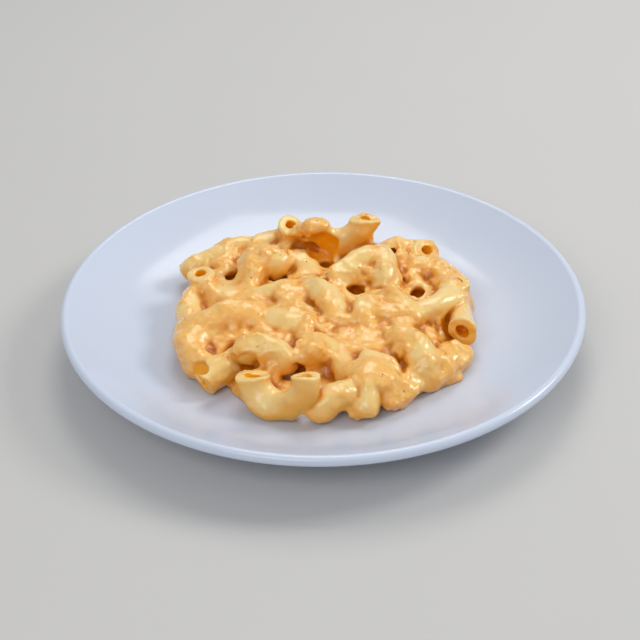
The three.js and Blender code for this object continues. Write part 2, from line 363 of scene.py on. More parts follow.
def plate_outline():
    """Pairs of radius and height, from the middle of the floor round the lip to the middle below."""
    turn = np.radians(np.linspace(*LIP_TURN, LIP_POINTS))
    lip = LIP_MIDDLE + (LIP_RADIUS - LIP_SHRINK) * np.stack([np.cos(turn), np.sin(turn)], axis=1)
    back = bezier(
        (PLATE_RADIUS - BACK_START[0], LIP_MIDDLE[1] - BACK_START[1]),
        (PLATE_RADIUS - BACK_SETS_OFF[0], LIP_MIDDLE[1] - BACK_SETS_OFF[1]),
        (FOOT_OUTER + BACK_ARRIVES[0], FLOOR_HEIGHT - WALL + BACK_ARRIVES[1]),
        (FOOT_OUTER + FOOT_FLARE, FOOT_LIFT),
        CURVE_POINTS,
    )
    foot = np.array([
        (FOOT_OUTER + FOOT_SOFTENING, FOOT_SOFTENING),
        (FOOT_OUTER + FOOT_SOFTENING / 4, FOOT_SOFTENING / 4),
        (FOOT_OUTER - FOOT_SOFTENING, 0),
        (FOOT_INNER + FOOT_SOFTENING, 0),
        (FOOT_INNER - FOOT_SOFTENING / 4, FOOT_SOFTENING / 4),
        (FOOT_INNER - FOOT_SOFTENING, FOOT_SOFTENING),
        (FOOT_INNER - FOOT_BEVEL - FOOT_SOFTENING, FOOT_RECESS),
    ])
    floor = [(r, FLOOR_HEIGHT) for r in np.linspace(0, FLOOR_RADIUS, FLAT_POINTS + 1)[:-1]]
    below = [(r, FOOT_RECESS) for r in np.linspace(RECESS_RADIUS, 0, FLAT_POINTS)]
    return np.concatenate([floor, SLOPE[:-1], lip, back, foot, below])


outline = plate_outline()
print(f"{len(outline)} points from the middle of the floor to the middle of the underside")

# %% The nodes that turn the outline
PLATE_SEGMENTS = 160
SEAM = 0.002 * MM


def turning_group():
    group = bpy.data.node_groups.new("turn_outline", "GeometryNodeTree")
    face = group.interface
    face.new_socket("Outline", in_out="INPUT", socket_type="NodeSocketGeometry")
    face.new_socket("Wheel Radius", in_out="INPUT", socket_type="NodeSocketFloat")
    face.new_socket("Segments", in_out="INPUT", socket_type="NodeSocketInt")
    face.new_socket("Glaze", in_out="INPUT", socket_type="NodeSocketMaterial")
    face.new_socket("Plate", in_out="OUTPUT", socket_type="NodeSocketGeometry")
    tree = Tree(group)
    given = group.nodes.new("NodeGroupInput")
    value = {s.name: Wire(tree, s) for s in given.outputs}
    wheel = tree.node("GeometryNodeCurvePrimitiveCircle", {"mode": "RADIUS"},
                      {"Resolution": value["Segments"], "Radius": value["Wheel Radius"]})
    turned = tree.node("GeometryNodeCurveToMesh", {}, {"Curve": wheel, "Profile Curve": value["Outline"]})
    closed = tree.node("GeometryNodeMergeByDistance", {}, {"Geometry": turned, "Distance": SEAM})
    smooth = tree.node("GeometryNodeSetShadeSmooth", {}, {"Geometry": closed})
    real = tree.node("GeometryNodeRealizeInstances", {}, {"Geometry": smooth})
    glazed = tree.node("GeometryNodeSetMaterial", {}, {"Geometry": real, "Material": value["Glaze"]})
    tree.node("NodeGroupOutput", {}, {0: glazed})
    return group


def add_nodes(maker, group, **values):
    """Puts a node group on an object and sets its inputs by their identifiers."""
    modifier = maker.modifiers.new(group.name, "NODES")
    modifier.node_group = group
    inputs = {s.name: s.identifier for s in group.interface.items_tree if s.in_out == "INPUT"}
    for name, value in values.items():
        modifier[inputs[name.replace("_", " ")]] = value


# %% [markdown]
# ## Glaze
#
# White tableware is never quite white. Its clear glaze has a faint blue tone, partly its own and
# partly a painted reflection of the pale sky, which is laid into the glaze colours. It has a faint
# ripple from the kiln, and stays dull on the foot, where the potter wipes it off so that the plate
# doesn't stick to the shelf. The finish is a smooth gloss with low noise in colour, gloss and bump.

# %% Plate glaze
# The blue in these glaze colours is partly the plate's own tone and partly a painted reflection of the
# pale sky.
GLAZE = from_screen(212, 222, 240)
GLAZE_SHADED = from_screen(207, 217, 236)
BARE_CLAY = from_screen(203, 199, 190)
WIPED_HEIGHTS = (0.14 * MM, 0.35 * MM)
GLAZE_ROUGHNESS = 0.13
GLAZE_UNEVENNESS = 0.06
CLAY_ROUGHNESS = 0.5


def glaze_finish(tree):
    where = tree.node("ShaderNodeTexCoord", {}, {}, "Object")
    height = tree.node("ShaderNodeSeparateXYZ", {}, {0: where}, "Z")
    cloud = tree.node("ShaderNodeTexNoise", {}, {"Vector": where, "Scale": 24.0, "Detail": 3.0})
    ripple = tree.node("ShaderNodeTexNoise", {}, {"Vector": where, "Scale": 55.0, "Detail": 2.0})
    grain = tree.node("ShaderNodeTexNoise", {}, {"Vector": where, "Scale": 1800.0, "Detail": 2.0})
    wiped = 1 - tree.between(height, *WIPED_HEIGHTS)
    glaze = tree.mix(cloud, GLAZE_SHADED, GLAZE)
    skin = ripple + grain * wiped
    bump = tree.node("ShaderNodeBump", {}, {"Height": skin, "Strength": 0.12, "Distance": 0.1 * MM})
    return {
        "Base Color": tree.mix(wiped, glaze, BARE_CLAY),
        "Roughness": GLAZE_ROUGHNESS + cloud * GLAZE_UNEVENNESS + wiped * CLAY_ROUGHNESS,
        "IOR": 1.5,
        "Normal": bump,
    }


def turn_plate():
    wheel_radius = LIP_MIDDLE[0]
    curve = bpy.data.curves.new("plate_outline", "CURVE")
    spline = curve.splines.new("POLY")
    spline.points.add(len(outline) - 1)
    for point, (radius, height) in zip(spline.points, outline):
        point.co = ((radius - wheel_radius) * MM, -height * MM, 0, 1)
    maker = bpy.data.objects.new("plate_outline", curve)
    bpy.context.scene.collection.objects.link(maker)
    glaze = new_material("white_glaze", glaze_finish)
    sizes = {"Wheel_Radius": wheel_radius * MM, "Segments": PLATE_SEGMENTS}
    add_nodes(maker, turning_group(), Glaze=glaze, **sizes)
    plate = as_settled_mesh("coupe_plate", maker)
    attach(plate, BODY)
    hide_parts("plate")
    return plate


def measure(piece):
    corners = np.array([corner[:] for corner in piece.bound_box])
    show_size(f"{piece.name}, {count_triangles(piece.data):,} triangles", corners.min(0), corners.max(0))


plate = turn_plate()
measure(plate)

# %% [markdown]
# ## The macaroni
#
# Each piece is a bent tube, 10.6 mm across once it is cooked. A usual one is 29 mm along its bend.
# Those that are broken or mostly buried in sauce are shorter, and two are longer. The heap is laid out
# as on squared paper, in tube radii: across and back from the plate's axis, and up from its floor, so
# that a piece at 1 lies on the floor and one at 2 or 3 lies on others. A piece is placed by the middle
# of its bend. Heading and climb turn the tube there, roll turns the side that it curls to (0 is an
# arch, 180 a cup), and bend is how far it curls, in degrees. `mouths` names its open ends, `cut` is
# its length, and `bare` is how little sauce clings to it, from 0 to 1.

# %% The macaroni that shows, from the back to the front
TUBE_RADIUS = 5.3
BORE_RADIUS = 2.25
BORE_DEPTH = 7.0
CUT_LENGTH = 29.0


def in_millimetres(spot):
    """A spot that is counted in tube radii, as a place in millimetres."""
    return np.array(spot, float) * TUBE_RADIUS + (0, 0, FLOOR_HEIGHT)


def elbow(spot, heading, climb, roll, bend, bare, mouths="none", cut=CUT_LENGTH):
    """One piece of macaroni, as its place, its turns and its length."""
    return {"at": in_millimetres(spot), "heading": heading, "climb": climb, "roll": roll,
            "bend": bend, "bare": bare, "mouths": mouths, "cut": cut}


BACK_ROW = [
    elbow([-8, 6, 1.75], 0, 0, -30, 90, 0.4, "none", 27),
    elbow([-6, 7.5, 2], 15, 0, -30, 105, 0.4, "last"),
    elbow([-4, 8, 2.25], 30, 0, -30, 105, 0.5),
    elbow([-2.5, 7.5, 1.5], 90, 60, 180, 90, 0.7, "last"),
    elbow([-1.25, 7.5, 2.25], 15, 0, -30, 90, 0.15),
    elbow([1.5, 6.5, 3.25], 0, 0, 165, 180, 0.55, "last", 30),
    elbow([2, 7.25, 1.75], 0, 0, 0, 60, 0.2, "none", 22),
    elbow([6.25, 6.5, 2.25], -165, 15, 0, 105, 0.5, "none", 20),
    elbow([6.25, 6, 1.75], 15, 15, -120, 75, 0.5, "last", 20),
    elbow([9, 3.5, 1.75], -75, 0, -30, 90, 0.2, "none", 24),
]

TOP_ROW = [
    elbow([-7.75, 3.25, 1], -150, 30, 180, 105, 0.9, "last"),
    elbow([-4.25, 4, 3], 0, 0, -30, 75, 0.6, "none", 19),
    elbow([-5, 2.5, 2.25], 90, 30, 0, 60, 0.1),
    elbow([-3, 1, 2.25], 15, 0, -30, 90, 0.1),
    elbow([-7, 1, 1.75], -30, 0, 0, 90, 0),
    elbow([-1.5, 4.5, 2.25], -75, 0, 0, 90, 0.1),
    elbow([2.5, 3, 3.5], 45, 0, 0, 135, 0.6, "none", 28),
    elbow([4.5, 3, 3.25], 90, 0, 0, 105, 0.7),
    elbow([8.75, 3.75, 1.75], 165, 15, 90, 75, 0.4, "last", 24),
    elbow([3, -2.25, 2], -90, 90, 0, 15, 0, "none", 16),
    elbow([1.75, -1.25, 2], -75, 0, 0, 60, 0.1, "none", 20),
    elbow([5.25, -1.5, 2.5], -45, 0, -30, 60, 0.8, "none", 26),
    elbow([4.5, -2.75, 2], -45, 0, -30, 60, 0.3, "none", 24),
    elbow([0, -0.5, 2.75], -60, 0, -30, 105, 0.3),
    elbow([-1.75, -1.5, 2], -60, 0, -30, 90, 0.1),
    elbow([8.5, -1.25, 2.5], -135, 0, -45, 90, 0.7),
    elbow([-7, -2.5, 2.5], 15, 0, -15, 105, 0),
    elbow([-4.25, -2, 1.75], -75, 0, 0, 90, 0),
    elbow([-2.25, -3.25, 2.25], -30, 0, -15, 90, 0.25, "none", 24),
    elbow([3, -4.25, 1.25], -90, 0, 0, 75, 0),
    elbow([5.25, -4.25, 2], -75, 0, 0, 90, 0.15),
]

LEFT_SIDE = [
    elbow([-9.5, 0, 1.5], 90, 0, -30, 90, 0.3),
    elbow([-8.5, -3.75, 1.75], 30, 0, -15, 90, 0.2, "none", 20),
    elbow([-9.25, -5, 1], -75, 0, 90, 75, 0.4, "none", 26),
    elbow([-7, -7, 1.25], -135, 0, 0, 30, 0.7, "last", 20),
]

RIGHT_SIDE = [
    elbow([10, 0.75, 1], 90, 60, 180, 60, 0.3, "last", 20),
    elbow([9.75, -1.5, 1.25], -75, 15, -90, 60, 0.9, "last"),
    elbow([6.5, -6.25, 2], -75, 0, 0, 120, 0.75, "none", 24),
    elbow([8, -6.5, 0.75], 30, 0, 90, 60, 0.1, "none", 24),
]

FRONT_ROW = [
    elbow([-4, -6.5, 2.5], -15, 0, -15, 165, 1, "none", 25),
    elbow([-4, -7.25, 1.25], 90, 30, 0, 30, 0.8, "none", 16),
    elbow([-1, -6.25, 1.75], -60, 30, 0, 60, 0.3, "none", 16),
    elbow([-0.5, -5.5, 1.75], -30, 0, -30, 90, 0.8, "none", 20),
    elbow([1.5, -7.75, 1.25], -75, 0, 0, 90, 0.35, "none", 24),
    elbow([4, -8, 1.75], -45, -15, -30, 75, 0.9, "none", 18),
    elbow([-3, -11, 1], -30, 15, 165, 180, 0.95, "both", 36),
    elbow([0.75, -10.75, 1.5], 30, 0, 0, 135, 0.75, "none", 22),
    elbow([2.75, -9.75, 1.5], -90, -15, 0, 75, 0.6, "none", 22),
    elbow([5.75, -8.75, 1], 45, 0, 90, 60, 0.4, "none", 26),
    elbow([4.5, -8.5, 1], -60, 0, 0, 60, 0.1, "none", 22),
]

# %% The macaroni that fills the back and the flanks
CORE_MIDDLE = (0.0, -2.0)
RING_MIDDLE = CORE_MIDDLE[1] / TUBE_RADIUS
RINGS = [
    {"count": 9, "start": 15, "end": 165, "across": 9.5, "back": 7.75, "up": 1, "open": True},
    {"count": 7, "start": 10, "end": 160, "across": 7.5, "back": 6.25, "up": 1.75, "open": False},
]
RING_LIFT = 0.2
RING_TURN = 40
RING_CLIMB = 15
RING_ROLL = (-70, 20)
RING_BEND = (70, 130)
RING_SEED = 11
RING_BARE = 0.55
DRAW_FACTOR = 1664525
DRAW_STEP = 1013904223
DRAW_RANGE = 2 ** 32


def drawer(seed):
    """A fixed sequence of draws between two numbers, the same on every run."""
    state = seed

    def draw(low, high):
        nonlocal state
        state = (state * DRAW_FACTOR + DRAW_STEP) % DRAW_RANGE
        return low + (high - low) * state / DRAW_RANGE

    return draw


def ring_elbows():
    """Rings of elbows round the heap, turned at random. In an open ring every other one is open."""
    draw = drawer(RING_SEED)
    made = []
    for ring in RINGS:
        for i in range(ring["count"]):
            bearing = ring["start"] + (ring["end"] - ring["start"]) * (i + 0.5) / ring["count"]
            turn = math.radians(bearing)
            spot = [ring["across"] * math.cos(turn), ring["back"] * math.sin(turn) + RING_MIDDLE,
                    ring["up"] + draw(-RING_LIFT, RING_LIFT)]
            heading = bearing + 90 + draw(-RING_TURN, RING_TURN)
            climb = draw(-RING_CLIMB, RING_CLIMB)
            roll = draw(*RING_ROLL)
            mouths = "last" if ring["open"] and i % 2 else "none"
            made.append(elbow(spot, heading, climb, roll, draw(*RING_BEND), RING_BARE, mouths))
    return made


SHOWN = [*BACK_ROW, *TOP_ROW, *LEFT_SIDE, *RIGHT_SIDE, *FRONT_ROW]
PACKED = ring_elbows()
print(f"{len(SHOWN)} pieces of macaroni that show, and {len(PACKED)} packed between them")

# %% [markdown]
# ## One skin over everything
#
# Sauce joins the tubes into one soft shape, which separate meshes can't show: they would meet
# in hard creases. Metaballs are round, and a remesh of joined tubes keeps the creases. So the heap is
# a distance field: a grid of numbers, each the distance to the nearest surface, below zero inside.
# Two fields that are blended softly melt into each other, and sauce is a field that reaches a little
# further out. The skin is drawn where the field is zero.

# %% The grid of samples
SAMPLE_STEP = 0.5
GRID_LOW = np.array((-63.5, -68.0, 4.5))
GRID_HIGH = np.array((65.0, 56.0, 36.5))
COUNTS = np.ceil((GRID_HIGH - GRID_LOW) / SAMPLE_STEP).astype(int) + 1


def axis_line(axis):
    """The positions of the samples along one axis, shaped to spread over the grid."""
    shape = [1, 1, 1]
    shape[axis] = COUNTS[axis]
    line = GRID_LOW[axis] + np.arange(COUNTS[axis]) * SAMPLE_STEP
    return line.reshape(shape).astype(np.float32)


def soft_noise(cell, seed):
    """Smooth random values with a spread of about 1, in lumps about `cell` millimetres wide."""
    draw = np.random.default_rng(seed)
    values = draw.uniform(-1, 1, [int(n * SAMPLE_STEP / cell) + 5 for n in COUNTS]).astype(np.float32)
    for axis, count in enumerate(COUNTS):
        place = np.arange(count) * SAMPLE_STEP / cell
        first = place.astype(int)
        shape = [1, 1, 1]
        shape[axis] = count
        t = (place - first).reshape(shape).astype(np.float32)
        weights = ((1 - t) ** 3, 3 * t ** 3 - 6 * t ** 2 + 4, 3 * (t + t ** 2 - t ** 3) + 1, t ** 3)
        values = sum(np.take(values, first + i, axis) * w / 6 for i, w in enumerate(weights))
    return values / values.std()


def roughened(field, *layers):
    """A field with layers of noise. Each layer is a strength, a width in millimetres and a seed."""
    return sum((strength * soft_noise(cell, seed) for strength, cell, seed in layers), start=field)


print(f"{' x '.join(str(n) for n in COUNTS)} samples, {SAMPLE_STEP} mm apart")

# %% [markdown]
# ## The distance to one elbow
#
# In its own frame an elbow is a piece of a ring. Along the bend the distance is that to the ring's
# centre line, and past its end that to a straight run on. Real pieces are a little oval, thicker in
# one place than in another, and softly worn at the cut, so the numbers are bent by slow noise first.

# %% Elbow fields
RIM_ROUNDING = 0.9
CLOSED_ROUNDING = 4.0
REACH = 9.0
WARP_CELL = 8.0
WARP = 0.6
WARP_SEED = 21
DENT_CELL = 3.4
DENT = 0.14
DENT_SEED = 41
OVAL = 0.09
SHOWN_SEED = 5
PACKED_SEED = 6
MOUTH_FLARE = 0.45
FLARE_OVER_BORE = 3
FLARE_LENGTH = 6.0
BORE_EDGE = 0.35
MOUTH_OVERRUN = 1.0
BORE_HALF = (BORE_DEPTH + MOUTH_OVERRUN) / 2
BORE_MIDDLE = (BORE_DEPTH - MOUTH_OVERRUN) / 2
POINTS_ALONG = 9


def frame_of(piece):
    """The ring's middle, its two axes in the plane of the bend, and its radius."""
    turn, rise, roll = (math.radians(piece[k]) for k in ("heading", "climb", "roll"))
    side = np.array((-math.sin(turn), math.cos(turn), 0))
    along = np.array((math.cos(rise) * math.cos(turn), math.cos(rise) * math.sin(turn), math.sin(rise)))
    up = np.cross(along, side)
    inward = side * math.sin(roll) - up * math.cos(roll)
    radius = piece["cut"] / math.radians(piece["bend"])
    return piece["at"] + inward * radius, -inward, along, radius


def box_round(piece):
    """The slices of the grid that lie within reach of an elbow."""
    middle, outward, along, radius = frame_of(piece)
    half = math.radians(piece["bend"]) / 2
    turns = np.linspace(-half, half, POINTS_ALONG)[:, None]
    line = middle + radius * (outward * np.cos(turns) + along * np.sin(turns))
    margin = TUBE_RADIUS + REACH
    low = np.floor((line.min(0) - margin - GRID_LOW) / SAMPLE_STEP).astype(int)
    high = np.ceil((line.max(0) + margin - GRID_LOW) / SAMPLE_STEP).astype(int) + 1
    return tuple(slice(max(a, 0), max(min(b, n), 0)) for a, b, n in zip(low, high, COUNTS))


def ring_distances(piece, points, oval):
    """Distances from the tube's centre line and past its ends, and which end is nearer."""
    middle, outward, along, radius = frame_of(piece)
    axis = np.cross(outward, along)
    half = math.radians(piece["bend"]) / 2
    x, y, z = (sum((p - m) * a for p, m, a in zip(points, middle, way)) for way in (outward, along, axis))
    folded = np.abs(y)
    angle = np.arctan2(folded, x)
    past = angle > half
    end_x, end_y = radius * math.cos(half), radius * math.sin(half)
    beyond = (folded - end_y) * math.cos(half) - (x - end_x) * math.sin(half)
    offset = (x - end_x) * math.cos(half) + (folded - end_y) * math.sin(half)
    across = np.where(past, offset, np.hypot(x, y) - radius)
    ahead = np.where(past, beyond, (angle - half) * radius)
    return np.hypot(across * (1 + oval), z * (1 - oval)), ahead, y > 0


def rounded_end(across, ahead, rounding):
    """The distance to a cylinder's end whose rim is worn round."""
    a, b = across + rounding, ahead + rounding
    return np.hypot(np.maximum(a, 0), np.maximum(b, 0)) + np.minimum(np.maximum(a, b), 0) - rounding


def elbow_field(piece, points, oval):
    """The distance to the pasta, and to the hollow inside its open ends."""
    radial, ahead, last = ring_distances(piece, points, oval)
    near_end = np.clip(1 + ahead / FLARE_LENGTH, 0, 1)
    flare = MOUTH_FLARE * near_end ** 2
    opened = {"none": False, "last": last, "both": True}[piece["mouths"]]
    rounding = np.where(opened, RIM_ROUNDING, CLOSED_ROUNDING)
    pasta = rounded_end(radial - TUBE_RADIUS - flare, ahead, rounding)
    wall = radial - BORE_RADIUS - flare / FLARE_OVER_BORE
    bore = np.maximum(wall, np.abs(ahead + BORE_MIDDLE) - BORE_HALF)
    return pasta, np.where(opened, bore, REACH)


# %% [markdown]
# ## Blending the fields
#
# The soft minimum adds up how near each elbow is, and the order doesn't matter. A tight blend keeps
# each tube's own form. A loose one bridges the gaps between tubes, and pushed back a little it
# only shows in those gaps: that is where sauce gathers. Where the elbows are well coated it is
# brought forward again and covers them.

# %% Sum of all the elbows
TIGHT = 0.35
LOOSE = 1.9
FADE = math.exp(-REACH / LOOSE)

# What the sums start at, so that they have a logarithm far from every elbow too.
TIGHT_START = 1e-12
LOOSE_START = 1e-5


def warped_points():
    """The samples' positions, shaken slowly for the tubes' form and quickly for dents in their skin."""
    lines = [axis_line(axis) for axis in range(3)]
    slow = [WARP * soft_noise(WARP_CELL, WARP_SEED + axis) for axis in range(3)]
    quick = [DENT * soft_noise(DENT_CELL, DENT_SEED + axis) for axis in range(3)]
    return [sum(parts) for parts in zip(lines, slow, quick)]


class Gathering:
    """Running sums over many elbows: how near they are, tightly and loosely, and how bare."""

    def __init__(self):
        shape = tuple(COUNTS)
        self.tight = np.full(shape, TIGHT_START, np.float32)
        self.loose = np.full(shape, LOOSE_START, np.float32)
        self.bare = np.zeros(shape, np.float32)
        self.bores = np.full(shape, REACH, np.float32)

    def add(self, pieces, points, seed):
        draw = np.random.default_rng(seed)
        for piece in pieces:
            box = box_round(piece)
            pasta, bore = elbow_field(piece, [p[box] for p in points], draw.uniform(-OVAL, OVAL))
            near = np.maximum(np.exp(-pasta / LOOSE) - FADE, 0)
            self.tight[box] += np.exp(-pasta / TIGHT)
            self.loose[box] += near
            self.bare[box] += near * piece["bare"]
            self.bores[box] = np.minimum(self.bores[box], bore)
        return self

    def pasta(self):
        return -TIGHT * np.log(self.tight)


where = warped_points()
shown = Gathering().add(SHOWN, where, SHOWN_SEED)
packed = Gathering().add(PACKED, where, PACKED_SEED)
web_field = -LOOSE * np.log(shown.loose + packed.loose)
bareness = (shown.bare + packed.bare) / (shown.loose + packed.loose)
bore_field = np.minimum(shown.bores, packed.bores)
print(f"the nearest pasta is up to {shown.pasta().max():.1f} mm away")

# %% [markdown]
# ## The sauced core
#
# Under the macaroni that shows lies more of the same, packed in sauce. Only its top matters, so it is
# a crowned mound, with a low apron in front. Hollows between the elbows are scooped out of it by
# balls, and so are the places where an elbow has torn. They are laid out in tube radii as well.

# %% Core field
MOUNDS = [
    {"half": (52, 42), "middle": CORE_MIDDLE, "height": 13.5, "squareness": 2.7},
    {"half": (34, 14), "middle": (0, -40), "height": 6, "squareness": 2.4},
]
CROWN_REACH = 4.3
CROWN_RISE = 2.38
HOLLOWS = [
    ([-6.5, 3.5, 1.5], 1.25), ([-3.5, 3, 2.25], 1), ([2.25, 0.75, 2.25], 1), ([0.25, 5.5, 2], 0.75),
    ([7, 0.75, 2.25], 1), ([-5, -7.25, 2], 0.75), ([-2.5, -7.25, 1.5], 1), ([-6.75, -6.25, 1.75], 1.25),
    ([1, -10.75, 0.5], 0.75),
]
TORN = [
    ([0, 5.5, 3.25], 1.25), ([0.25, 5, 2.25], 0.75), ([5.25, 5.5, 2.25], 0.75),
    ([-8.5, -8, 1.75], 0.75),
]
HOLLOW_EDGE = 1.5
HOLLOW_NOISE = (1.1, 5.0, 51)
TORN_EDGE = 1.2
TORN_NOISE = (0.35, 2.2, 52)
FIELD_LIMIT = 12.0
LEAST_STEEPNESS = 1e-3


def soft_max(a, b, blend):
    """The larger of two fields, with the edge where they meet rounded."""
    share = np.clip(0.5 + 0.5 * (a - b) / blend, 0, 1)
    return b + (a - b) * share + blend * share * (1 - share)


def soft_min(a, b, blend):
    """The smaller of two fields, with the crease where they meet filled."""
    return -soft_max(-a, -b, blend)


def mound_field(half, middle, height, squareness):
    x, y, z = (axis_line(axis) for axis in range(3))
    plan = sum(np.abs((p - m) / h) ** squareness for p, m, h in zip((x, y), middle, half))
    rise = np.maximum(z - FLOOR_HEIGHT, 0) / height
    value = plan ** (CROWN_REACH / squareness) + rise ** CROWN_RISE - 1
    steepness = np.sqrt(sum(g ** 2 for g in np.gradient(value, SAMPLE_STEP))) + LEAST_STEEPNESS
    return np.clip(value / steepness, -FIELD_LIMIT, FIELD_LIMIT)


def scooped(balls):
    """A field that is above zero inside any of the balls, and below it outside."""
    field = np.full(tuple(COUNTS), -FIELD_LIMIT, np.float32)
    for spot, radius in balls:
        middle = in_millimetres(spot)
        away = np.sqrt(sum((axis_line(a) - middle[a]) ** 2 for a in range(3)))
        field = np.maximum(field, radius * TUBE_RADIUS - away)
    return field


hollows = roughened(scooped(HOLLOWS), HOLLOW_NOISE)
torn = roughened(scooped(TORN), TORN_NOISE)
core = np.minimum(*(mound_field(**mound) for mound in MOUNDS))
pasta_field = soft_min(shown.pasta(), soft_max(packed.pasta(), hollows, HOLLOW_EDGE), TIGHT)
print(f"the core and its hollows are {(np.maximum(core, hollows) < 0).mean():.0%} of the grid")

# %% [markdown]
# ## The sauce, and the plate below
#
# Sauce lies thick in some places and thin in others, with small curds in it, and it is smoother here
# than there. The bores are cut after it is laid, so they stay open. The underside follows the plate
# that the heap sits on.

# %% The whole heap as one field
COAT_BACK = 1.35
COAT_FORWARD = 0.85
COAT_BLEND = 1.3
FILM = 0.3
CORE_BLEND = 2.2
PLATE_GAP = 0.08
TOP_LIMIT = 34.5
COVER_NOISE = [(0.28, 6.0, 31), (0.16, 3.0, 32)]
CURD_NOISE = [(0.32, 3.4, 33), (0.22, 1.8, 34), (0.11, 1.0, 35)]
CALM_NOISE = (0.4, 9.0, 36)
CALM_MEAN = 0.75
CALM_RANGE = (0.2, 1.3)


def plate_surface():
    """The height of the plate's upper face under each sample."""
    reach = np.hypot(axis_line(0), axis_line(1))
    return np.interp(reach, SLOPE[:, 0], SLOPE[:, 1], left=FLOOR_HEIGHT).astype(np.float32)


def heap_field():
    cover = np.clip(roughened(1 - bareness, *COVER_NOISE), 0, 1)
    lumps = roughened(0, *CURD_NOISE)
    lumps *= np.clip(roughened(CALM_MEAN, CALM_NOISE), *CALM_RANGE)
    sauce = web_field + COAT_BACK - (COAT_BACK + COAT_FORWARD) * cover
    sauce = soft_max(soft_min(sauce, core, CORE_BLEND) + lumps, hollows, HOLLOW_EDGE)
    heap = soft_min(pasta_field + lumps * FILM, sauce, COAT_BLEND)
    heap = soft_max(soft_max(heap, torn, TORN_EDGE), -bore_field, BORE_EDGE)
    heap = np.maximum(heap, plate_surface() + PLATE_GAP - axis_line(2))
    return np.maximum(heap, axis_line(2) - TOP_LIMIT)


heap = heap_field()
print(f"about {(heap < 0).sum() * SAMPLE_STEP ** 3 / 1000:.0f} cm3 of macaroni and sauce")

# %% Skin of the heap
TRIANGLE_LIMIT = 194000


def largest_island(points, faces):
    """Drops what isn't joined to the main skin, such as a pocket closed inside it."""
    label = np.arange(len(points))
    while True:
        lowest = label.copy()
        for corner in faces.T:
            np.minimum.at(lowest, corner, label[faces].min(axis=1))
        lowest = lowest[lowest]
        if (lowest == label).all():
            break
        label = lowest
    main = np.bincount(label).argmax()
    kept = label == main
    number = np.cumsum(kept) - 1
    return points[kept], number[faces[kept[faces[:, 0]]]]


def skin_of(field, name):
    grid = openvdb.FloatGrid(background=FIELD_LIMIT)
    grid.copyFromArray(field.astype(np.float32))
    points, quads = grid.convertToQuads(isovalue=0.0)
    points, quads = largest_island(points, quads.astype(np.int64))
    mesh = bpy.data.meshes.new(name)
    mesh.from_pydata((GRID_LOW + points * SAMPLE_STEP) * MM, [], quads.tolist())
    mesh.validate()
    maker = bpy.data.objects.new(name, mesh)
    bpy.context.scene.collection.objects.link(maker)
    print(f"{len(quads):,} four-sided faces before thinning")
    thinning = maker.modifiers.new("thinning", "DECIMATE")
    thinning.ratio = min(1.0, TRIANGLE_LIMIT / (2 * len(quads)))
    return as_settled_mesh(name, maker)


mac = skin_of(heap, "macaroni_and_cheese")
measure(mac)

# %% [markdown]
# ## What the finish needs to know
#
# Each point of the skin carries a few numbers for the material: how thick the sauce over the pasta
# is, how deep the point lies in a nook or a hollow, whether it is inside a bore, and how far it tilts
# away from facing up. They are read from the same fields, so the colours follow the shape exactly.
# The nook, hollow, bore and tilt numbers steer painted shade in the finish.

# %% Numbers for the finish
NOOK_WIDTH = 3.5
HOLLOW_WIDTH = 8.0


def read_at(field, places):
    """The field's values at points in metres, each blended from the eight samples round it."""
    index = (places / MM - GRID_LOW) / SAMPLE_STEP
    low = np.clip(np.floor(index).astype(int), 0, COUNTS - 2)
    t = index - low
    total = np.zeros(len(places))
    for corner in np.ndindex(2, 2, 2):
        weight = np.prod(np.where(corner, t, 1 - t), axis=1)
        total += weight * field[tuple((low + corner).T)]
    return total


def blurred(field, width):
    """The field averaged over a box of about that many millimetres, twice for a soft edge."""
    reach = max(1, round(width / SAMPLE_STEP / 2))
    for _ in range(2):
        for axis in range(3):
            margins = [(reach + 1, reach) if a == axis else (0, 0) for a in range(3)]
            padded = np.pad(field, margins, "edge")
            total = np.cumsum(padded, axis=axis, dtype=np.float64)
            high = np.take(total, np.arange(2 * reach + 1, total.shape[axis]), axis)
            low = np.take(total, np.arange(0, total.shape[axis] - 2 * reach - 1), axis)
            field = ((high - low) / (2 * reach + 1)).astype(np.float32)
    return field


def give(mesh, name, values):
    attribute = mesh.attributes.new(name, "FLOAT", "POINT")
    attribute.data.foreach_set("value", values.astype(np.float32))
    print(f"{name}: {values.min():.2f} to {values.max():.2f}, middle {np.median(values):.2f}")


def mark_heap():
    places = np.empty(len(mac.data.vertices) * 3)
    mac.data.vertices.foreach_get("co", places)
    places = places.reshape(-1, 3)
    filled = np.clip(0.5 - heap / SAMPLE_STEP, 0, 1).astype(np.float32)
    give(mac.data, "coat", read_at(pasta_field, places))
    give(mac.data, "nook", read_at(blurred(filled, NOOK_WIDTH), places))
    give(mac.data, "hollow", read_at(blurred(filled, HOLLOW_WIDTH), places))
    give(mac.data, "bore", read_at(np.minimum(bore_field, -torn), places))
    normals = np.empty(len(mac.data.vertices) * 3)
    mac.data.vertices.foreach_get("normal", normals)
    give(mac.data, "tilt", 1 - normals.reshape(-1, 3)[:, 2])
    mac.data.shade_smooth()


mark_heap()

# %% [markdown]
# ## Pasta and sauce
#
# Cooked macaroni is a pale cream yellow and lets some light through. The sauce is a peach orange,
# wet, and freckled with paprika. Both turn a deep orange in the gaps, because light that has bounced
# from wall to wall has been coloured each time, and that shade is painted into the colour. The finish
# mixes the two by the thickness of the coat, paints darker, deeper orange shade into the nooks, the
# hollows and the bores, paints a golden shade on the sides that turn from the light above, and adds
# fine grain where the sauce is.

# %% Finish of the heap
PASTA = from_screen(249, 209, 132)
PASTA_CREAM = from_screen(252, 218, 150)
# Painted shade: the deeper golden of pasta sides that turn away from the light above.
PASTA_SIDE_PAINTED_SHADE = from_screen(238, 172, 62)
SAUCE = from_screen(255, 194, 104)
SAUCE_PALE = from_screen(255, 206, 128)
